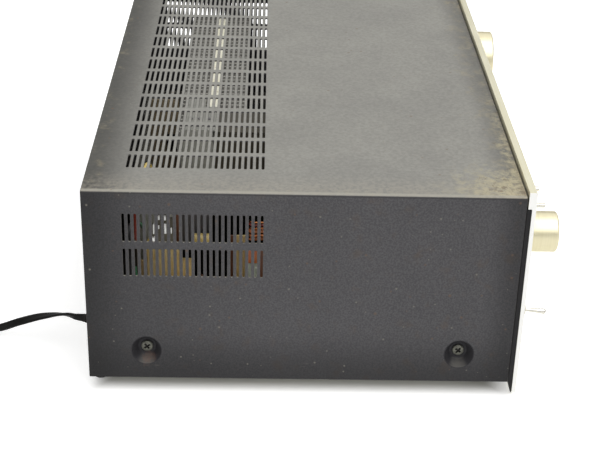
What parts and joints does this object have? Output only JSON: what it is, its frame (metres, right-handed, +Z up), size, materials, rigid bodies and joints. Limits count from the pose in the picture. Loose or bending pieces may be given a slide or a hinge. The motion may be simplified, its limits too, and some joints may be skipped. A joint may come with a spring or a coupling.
{
  "type": "integrated amplifier",
  "caption": "Stereo amplifier in a vented steel case with a thick metal front panel, turning knobs, levers, buttons, rear sockets and a mains cord.",
  "frame": {"origin": "on the surface it stands on, in the middle of its length and width without the cord", "axes": "+Z up, the front panel faces -Y, +X to the right of someone facing the front"},
  "size_m": [0.436, 0.5194, 0.1597],
  "materials": {
    "cover_paint": "satin charcoal paint with dust and small rust specks",
    "panel_aluminium": "brushed champagne anodising",
    "knob_aluminium": "turned champagne anodising",
    "black_steel": "satin black paint",
    "zinc_steel": "dull zinc plating",
    "screw_steel": "dull plated steel, blackened in the cross",
    "nickel": "satin nickel plating",
    "foot_rubber": "matt black rubber",
    "cord_rubber": "soft black sheath with a satin sheen",
    "black_plastic": "black moulded plastic",
    "red_plastic": "red moulded plastic",
    "board_phenolic": "tan phenolic board",
    "sink_aluminium": "dark anodised extrusion",
    "cream_strip": "cream insulating strip",
    "winding_tape": "orange-brown tape and enamelled wire",
    "can_sleeve": "shrunk dark blue sleeve",
    "relay_case": "yellow-brown clear plastic case"
  },
  "bodies": {
    "root": {"top_cover": "cover_paint", "front_panel": "panel_aluminium", "front_sub_panel": "black_steel", "rear_panel": "black_steel", "transformer_core": "black_steel", "chassis": "zinc_steel", "speaker_switch": "zinc_steel", "bass_pot": "zinc_steel", "treble_pot": "zinc_steel", "input_switch": "zinc_steel", "volume_pot": "zinc_steel", "power_switch": "zinc_steel", "tape_switch": "zinc_steel", "cover_screw_rear_left": "screw_steel", "cover_screw_front_left": "screw_steel", "cover_screw_rear_right": "screw_steel", "cover_screw_front_right": "screw_steel", "headphone_jack": "nickel", "foot_rear_left": "foot_rubber", "foot_rear_right": "foot_rubber", "foot_front_left": "foot_rubber", "foot_front_right": "foot_rubber", "cord_strain_relief": "cord_rubber", "power_cord": "cord_rubber", "cord_coil": "cord_rubber", "button_switch_bank": "black_plastic", "speaker_terminal_block": "black_plastic", "ac_outlet": "black_plastic", "power_module_left": "black_plastic", "power_module_right": "black_plastic", "cord_tie": "black_plastic", "mains_plug": "black_plastic", "phono_jack_block": "board_phenolic", "power_board": "board_phenolic", "preamp_board": "board_phenolic", "heat_sink": "sink_aluminium", "heat_sink_rail": "cream_strip", "transformer_winding": "winding_tape", "filter_capacitor_left": "can_sleeve", "filter_capacitor_right": "can_sleeve", "speaker_relay": "relay_case"},
    "speaker_control": {"speaker_knob": "knob_aluminium", "speaker_shaft": "nickel"},
    "bass_control": {"bass_knob": "knob_aluminium", "bass_shaft": "nickel"},
    "treble_control": {"treble_knob": "knob_aluminium", "treble_shaft": "nickel"},
    "input_control": {"input_knob": "knob_aluminium", "input_shaft": "nickel"},
    "volume_control": {"volume_knob": "knob_aluminium", "volume_shaft": "nickel"},
    "power_lever": {"power_lever": "nickel"},
    "tape_lever": {"tape_lever": "nickel"},
    "speaker_button_a": {"speaker_button_a": "nickel"},
    "speaker_button_b": {"speaker_button_b": "nickel"},
    "speaker_tab_1": {"speaker_tab_1": "red_plastic"},
    "speaker_tab_2": {"speaker_tab_2": "black_plastic"},
    "speaker_tab_3": {"speaker_tab_3": "red_plastic"},
    "speaker_tab_4": {"speaker_tab_4": "black_plastic"},
    "ground_post": {"ground_post": "nickel"}
  },
  "joints": [
    {"name": "speaker_knob_turn", "type": "hinge", "parent": "root", "child": "speaker_control", "pos_m": [-0.177, -0.1432, 0.11], "axis": [0, 1, 0], "range_deg": [-60, 60]},
    {"name": "bass_knob_turn", "type": "hinge", "parent": "root", "child": "bass_control", "pos_m": [-0.106, -0.1432, 0.092], "axis": [0, 1, 0], "range_deg": [-140, 140]},
    {"name": "treble_knob_turn", "type": "hinge", "parent": "root", "child": "treble_control", "pos_m": [-0.062, -0.1432, 0.092], "axis": [0, 1, 0], "range_deg": [-140, 140]},
    {"name": "input_knob_turn", "type": "hinge", "parent": "root", "child": "input_control", "pos_m": [0.086, -0.1432, 0.082], "axis": [0, 1, 0], "range_deg": [-60, 60]},
    {"name": "volume_knob_turn", "type": "hinge", "parent": "root", "child": "volume_control", "pos_m": [0.164, -0.1432, 0.11], "axis": [0, 1, 0], "range_deg": [-150, 150]},
    {"name": "power_lever_tilt", "type": "hinge", "parent": "root", "child": "power_lever", "pos_m": [-0.177, -0.1462, 0.047], "axis": [1, 0, 0], "range_deg": [-12, 0]},
    {"name": "tape_lever_tilt", "type": "hinge", "parent": "root", "child": "tape_lever", "pos_m": [-0.062, -0.1462, 0.047], "axis": [1, 0, 0], "range_deg": [-12, 0]},
    {"name": "speaker_button_a_press", "type": "slide", "parent": "root", "child": "speaker_button_a", "axis": [0, 1, 0], "range_m": [0, 0.003], "stiffness_N_per_m": 300, "springref_m": -0.001},
    {"name": "speaker_button_b_press", "type": "slide", "parent": "root", "child": "speaker_button_b", "axis": [0, 1, 0], "range_m": [0, 0.003], "stiffness_N_per_m": 300, "springref_m": -0.001},
    {"name": "speaker_tab_1_press", "type": "hinge", "parent": "root", "child": "speaker_tab_1", "pos_m": [-0.055, 0.1636, 0.06], "axis": [1, 0, 0], "range_deg": [-12, 0], "stiffness_Nm_per_rad": 0.05, "springref_deg": 5.73},
    {"name": "speaker_tab_2_press", "type": "hinge", "parent": "root", "child": "speaker_tab_2", "pos_m": [-0.037, 0.1636, 0.06], "axis": [1, 0, 0], "range_deg": [-12, 0], "stiffness_Nm_per_rad": 0.05, "springref_deg": 5.73},
    {"name": "speaker_tab_3_press", "type": "hinge", "parent": "root", "child": "speaker_tab_3", "pos_m": [-0.019, 0.1636, 0.06], "axis": [1, 0, 0], "range_deg": [-12, 0], "stiffness_Nm_per_rad": 0.05, "springref_deg": 5.73},
    {"name": "speaker_tab_4_press", "type": "hinge", "parent": "root", "child": "speaker_tab_4", "pos_m": [-0.001, 0.1636, 0.06], "axis": [1, 0, 0], "range_deg": [-12, 0], "stiffness_Nm_per_rad": 0.05, "springref_deg": 5.73},
    {"name": "ground_post_turn", "type": "hinge", "parent": "root", "child": "ground_post", "pos_m": [0.042, 0.1564, 0.106], "axis": [0, 1, 0], "continuous": true}
  ]
}
